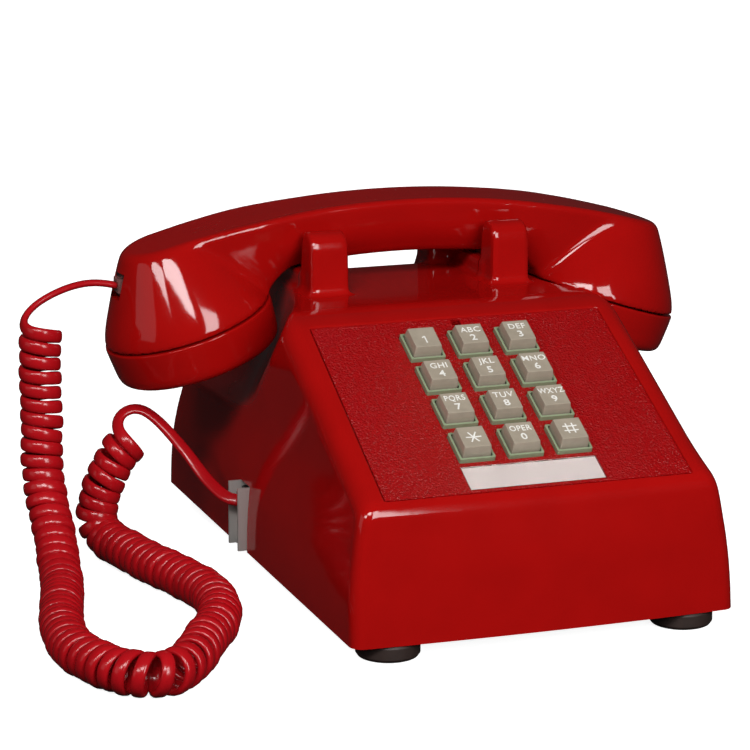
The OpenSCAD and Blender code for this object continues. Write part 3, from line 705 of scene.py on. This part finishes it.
# Name: colour, roughness, bumps, then variety, variety_scale, rough_span, rough_scale
LOOKS = {
    "red_gloss": ((0.36, 0.0035, 0.003), 0.075, [("noise", 45, 0.05), ("noise", 2600, 0.0012)],
                  0.04, 60, 0.02, 700),
    "red_grain": ((0.34, 0.003, 0.004), 0.19, [("F1", 1150, 0.42), ("noise", 2400, 0.2)],
                  0.14, 900, 0.06, 1500),
    "card": ((0.95, 0.82, 0.78), 0.6, [("noise", 3000, 0.01)], 0.02, 90),
    "clear": ((0.95, 0.95, 0.95), 0.06, [("noise", 120, 0.02)], 0.01, 90, 0.02),
    "collar": ((0.25, 0.31, 0.19), 0.34, [("noise", 1800, 0.01)], 0.06, 260, 0.05),
    "key_grey": ((0.37, 0.315, 0.245), 0.36, [("noise", 1500, 0.012)], 0.05, 350, 0.05),
    "legend": ((0.85, 0.83, 0.78), 0.45, [("noise", 2500, 0.01)], 0.03, 500),
    "mat_rubber": ((0.5, 0.48, 0.42), 0.7, [("noise", 1500, 0.03)], 0.05, 200, 0.05),
    "board": ((0.1, 0.22, 0.09), 0.4, [("noise", 1200, 0.01)], 0.08, 150, 0.05),
    "zinc_steel": ((0.60, 0.57, 0.54), 0.4, [("noise", 900, 0.012)], 0.08, 180, 0.08, 420),
    "foot_rubber": ((0.030, 0.017, 0.014), 0.55, [("noise", 1600, 0.03)], 0.15, 300, 0.08),
    "black_plastic": ((0.012, 0.012, 0.012), 0.35, [("noise", 1500, 0.02)], 0.1, 250, 0.06),
    "cream_plastic": ((0.68, 0.62, 0.5), 0.3, [("noise", 900, 0.015)], 0.04, 150, 0.05),
    "network_case": ((0.1, 0.1, 0.11), 0.4, [("noise", 1400, 0.03)], 0.08, 200, 0.06),
    "brass": ((0.72, 0.5, 0.2), 0.22, [("noise", 700, 0.01)], 0.08, 150, 0.06, 350),
    "winding": ((0.33, 0.11, 0.035), 0.35, [("noise", 2200, 0.05)], 0.12, 500, 0.06, 900),
    "plug_tint": ((0.75, 0.35, 0.33), 0.1, [("noise", 300, 0.01)], 0.03, 200, 0.03),
    "cord_red": ((0.42, 0.005, 0.009), 0.2, [("noise", 500, 0.02), ("noise", 2600, 0.003)],
                 0.06, 80, 0.04, 400),
}
EXTRAS = {
    "clear": dict(Transmission_Weight=1.0, IOR=1.3),
    "plug_tint": dict(Transmission_Weight=0.75),
    "zinc_steel": dict(metallic=0.45, stretch=(1, 1, 0.12)),
    "brass": dict(metallic=1.0),
    "winding": dict(stretch=(1, 0.1, 0.1)),
}
mats = {name: material(name, *look, **EXTRAS.get(name, {})) for name, look in LOOKS.items()}


def paint(obj, name):
    if len(obj.data.materials) == 0:
        obj.data.materials.append(mats[name])
    for i in range(len(obj.data.materials)):
        obj.data.materials[i] = mats[name]


slots = {row["node"]: row["material_slot"] for row in frame["record"]["subparts"]}
for node, obj in frame["nodes"].items():
    if obj.data.users > 1:
        obj.data = obj.data.copy()
    paint(obj, slots[node])
    obj.data.set_sharp_from_angle(angle=math.radians(32))
for node in ("faceplate", "keypad_bezel", "jack_clip", "base_jack", "line_jack", "handset_jack",
             "number_card"):
    bevel = frame["nodes"][node].modifiers.new("edge", "BEVEL")
    bevel.width, bevel.segments = 0.22 * MM, 2
    bevel.limit_method, bevel.angle_limit = "ANGLE", math.radians(40)
paint(cord, "cord_red")


# ---------------------------------------------------------------- housing and handset pieces
def finish_piece(obj, body, slot_name, *nodes, look=None):
    """Paints a piece with look, or else with slot_name, hides the CAD nodes that it replaces and
    attaches it to its body.
    """
    paint(obj, look or slot_name)
    if nodes:
        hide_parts(*nodes)
    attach(obj, body)


finish_piece(make_housing(), "base", "red_gloss", "housing")
finish_piece(make_handset(), "handset", "red_gloss", "handset_shell")
mouth_holes = [(0, 0)] + [p for k in (1, 2, 3) for p in ring_of(5.5 * k, 6 * k)]
ear_holes = [(0, 0)] + ring_of(6, 6)
finish_piece(make_cap("mouthpiece_cap", -1, mouth_holes, 1.0),
             "handset", "red_gloss", "transmitter_cap")
finish_piece(make_cap("earpiece_cap", 1, ear_holes, 1.4), "handset", "red_gloss", "receiver_cap")

# ---------------------------------------------------------------- push buttons
KEYS = [("1", "1", ""), ("2", "2", "ABC"), ("3", "3", "DEF"), ("4", "4", "GHI"), ("5", "5", "JKL"),
        ("6", "6", "MNO"), ("7", "7", "PQRS"), ("8", "8", "TUV"), ("9", "9", "WXYZ"),
        ("star", "*", ""), ("0", "0", "OPER"), ("pound", "#", "")]
KEY_SPACING, KEYPAD_MIDDLE = 19.05, 55.4
# A button's outline from the bottom up: width, length, corner radius and height over the deck
KEY_RINGS = [(10.9, 12.0, 0.4, -3.2), (11.0, 12.1, 0.4, -2.9), (11.0, 12.1, 0.4, 1.0),
             (11.0, 12.1, 0.4, 1.4), (10.9, 11.9, 0.4, 3.3), (10.85, 11.8, 0.4, 3.5),
             (10.5, 11.35, 0.4, 4.6), (10.4, 11.2, 0.4, 4.95), (10.3, 11.1, 0.4, 5.1),
             (10.25, 11.05, 0.4, 5.28), (10.1, 10.9, 0.4, 5.42), (9.8, 10.6, 0.4, 5.48),
             (9.5, 10.3, 0.35, 5.49)]
KEY_DISH, CORNER_STEPS, SIDE_POINTS = 0.30, 4, 7
TOP_W, TOP_L, TOP_CORNER, TOP_H = KEY_RINGS[-1]
# Middle lines of the characters drawn as bars, and the bars' section: aside and above the top
STROKES = {"*": [(-3.0, 0, 3.0, 0), (-1.5, -2.6, 1.5, 2.6), (-1.5, 2.6, 1.5, -2.6)],
           "#": [(-2.8, 1.2, 2.8, 1.2), (-2.8, -1.2, 2.8, -1.2), (-1.2, -2.7, -1.2, 2.7),
                 (1.2, -2.7, 1.2, 2.7)],
           "1": [(-0.95, 1.15, 0.15, 2.0), (0.15, 2.0, 0.15, -2.0)]}
STROKE_MIDDLE = {"*": 0.0, "#": 0.2, "1": -1.2}
BAR_SECTION = ((0.28, -0.06), (0.28, 0.05), (-0.28, 0.05), (-0.28, -0.06))


def key_top(x, y):
    """Height of a button's dished top."""
    return TOP_H - KEY_DISH * (1 - (x / (TOP_W / 2)) ** 2) * (1 - (y / (TOP_L / 2)) ** 2)


def make_key(cx, cs, name):
    rings = [[(x, y, z) for x, y in rounded(w, h, r, CORNER_STEPS, SIDE_POINTS)]
             for w, h, r, z in KEY_RINGS]
    top = rounded(TOP_W, TOP_L, TOP_CORNER, CORNER_STEPS, SIDE_POINTS)
    for k in (0.93, 0.84, 0.72, 0.58, 0.42, 0.24, 0.06):
        rings.append([(x * k, y * k, key_top(x * k, y * k)) for x, y in top])
    points, faces = loft(rings)
    stem, more = prism(ring_of(2, 24), -9.8, -3.3)
    faces += [tuple(i + len(points) for i in f) for f in more]
    points = np.array(points + stem) + (cx, cs, 0)
    return crease(new_object("button_" + name, on_deck(points), faces), 38)


def bar(ends, y0, lift):
    """One painted bar over the button's top."""
    start, end = np.array(ends[:2]), np.array(ends[2:])
    along = (end - start) / math.hypot(*(end - start))
    aside = np.array((-along[1], along[0]))
    rings = []
    for k in np.linspace(0, 1, 8):
        middle = start + (end - start) * k + (0, y0)
        rings.append([(*(middle + aside * w), key_top(*middle) + h + lift)
                      for w, h in BAR_SECTION])
    return loft(rings)


def glyphs(text, y0, size, squeeze, weight):
    """Characters of the built-in font, bent over the button's top."""
    curve = bpy.data.curves.new("legend", "FONT")
    curve.body, curve.size, curve.align_x, curve.align_y = text, size, "CENTER", "CENTER"
    curve.extrude, curve.resolution_u, curve.offset = 0.03, 3, weight
    curve.space_character = 1.08
    holder = bpy.data.objects.new("legend", curve)
    scene.collection.objects.link(holder)
    bpy.context.view_layer.update()
    mesh = evaluated_mesh(holder)
    bm = bmesh.new()
    bm.from_mesh(mesh)
    bmesh.ops.remove_doubles(bm, verts=bm.verts, dist=1e-4)
    bmesh.ops.triangulate(bm, faces=bm.faces)
    bm.to_mesh(mesh)
    bm.free()
    bpy.data.objects.remove(holder)
    at = np.array([v.co for v in mesh.vertices])
    middle = (at[:, :2].max(0) + at[:, :2].min(0)) / 2
    points = []
    for x, y, z in at:
        px, py = (x - middle[0]) * squeeze, y - middle[1] + y0
        points.append((px, py, key_top(px, py) + z + 0.02))
    return points, [tuple(poly.vertices) for poly in mesh.polygons]


def legend(name, digit, letters, cx, cs):
    """Painted characters that lie on a button's top."""
    if digit in STROKES:  # each bar a hair higher than the last, so that none coincide
        parts = [bar(ends, STROKE_MIDDLE[digit], 0.002 * j)
                 for j, ends in enumerate(STROKES[digit])]
    else:
        squeeze = 1.0 if len(letters) == 3 else 0.84
        parts = [glyphs(letters, 2.5, 3.95, squeeze, 0.03), glyphs(digit, -1.95, 4.9, 1.0, 0.09)]
    points, faces = [], []
    for more_points, more_faces in parts:
        faces += [tuple(len(points) + i for i in f) for f in more_faces]
        points += more_points
    return new_object("legend_" + name, on_deck(np.array(points) + (cx, cs, 0)), faces, False)


for i, (name, digit, letters) in enumerate(KEYS):
    column, row = i % 3 - 1, 1.5 - i // 3
    cx, cs = column * KEY_SPACING, KEYPAD_MIDDLE + row * KEY_SPACING
    body = f"key_{name}_body"
    finish_piece(make_key(cx, cs, name), body, "key_grey", "key_" + name)
    finish_piece(legend(name, digit, letters, cx, cs), body, "key_grey", look="legend")


# ---------------------------------------------------------------- floor and light
def make_stage():
    """Pale floor that glows by itself and doesn't light the telephone, and a dim world."""
    inner, outer = ([(x, y, 0) for x, y in ring_of(r, 64)] for r in (1, 14000))
    points, faces = loft([inner, outer], cap=False)
    faces.append(tuple(range(64)))
    floor = outward(new_object("floor", points, faces, False))
    white = material("floor_white", (0.86, 0.86, 0.86), 0.9, [], 0.004, 3, 0.02, 20,
                     Emission_Color=(1, 1, 1, 1), Emission_Strength=0.9)
    floor.data.materials.append(white)
    floor.visible_glossy = False
    floor.visible_diffuse = False
    world = bpy.data.worlds.new("studio")
    scene.world = world
    world.use_nodes = True
    set_inputs(world.node_tree.nodes["Background"], Color=(1, 1, 1, 1), Strength=0.018)
    scene.view_settings.view_transform = "Standard"


def softbox(name, azimuth, elevation, reach, size, radiance, glossy=True):
    """Rectangular light that faces the telephone; azimuth 0 is in front and + is to the right.
    Distances are in metres, angles in degrees."""
    aim = Vector((0, 0, 0.08))
    a, e = math.radians(azimuth), math.radians(elevation)
    away = Vector((math.sin(a) * math.cos(e), -math.cos(a) * math.cos(e), math.sin(e)))
    data = bpy.data.lights.new(name, "AREA")
    data.shape, data.size, data.size_y = "RECTANGLE", *size
    data.energy = radiance * math.pi * size[0] * size[1]
    light = bpy.data.objects.new(name, data)
    scene.collection.objects.link(light)
    light.location = place = aim + reach * away
    light.rotation_mode = "QUATERNION"
    light.rotation_quaternion = (aim - place).to_track_quat("-Z", "Y")
    light.visible_glossy = glossy


make_stage()
softbox("key", -30, 40, 1.5, (0.66, 0.32), 15)
softbox("key_arm", -58, 30, 1.5, (0.48, 0.20), 12)
softbox("strip", 7, 27, 1.2, (0.38, 0.60), 10)
softbox("panel", -84, 14, 1.2, (0.6, 0.5), 0.5)
softbox("fill", 22, 20, 1.8, (0.9, 0.9), 1.3, glossy=False)
softbox("top", 0, 84, 2.0, (1.4, 1.4), 0.25, glossy=False)
softbox("rear", 162, 16, 1.9, (1.1, 0.8), 4.0, glossy=False)
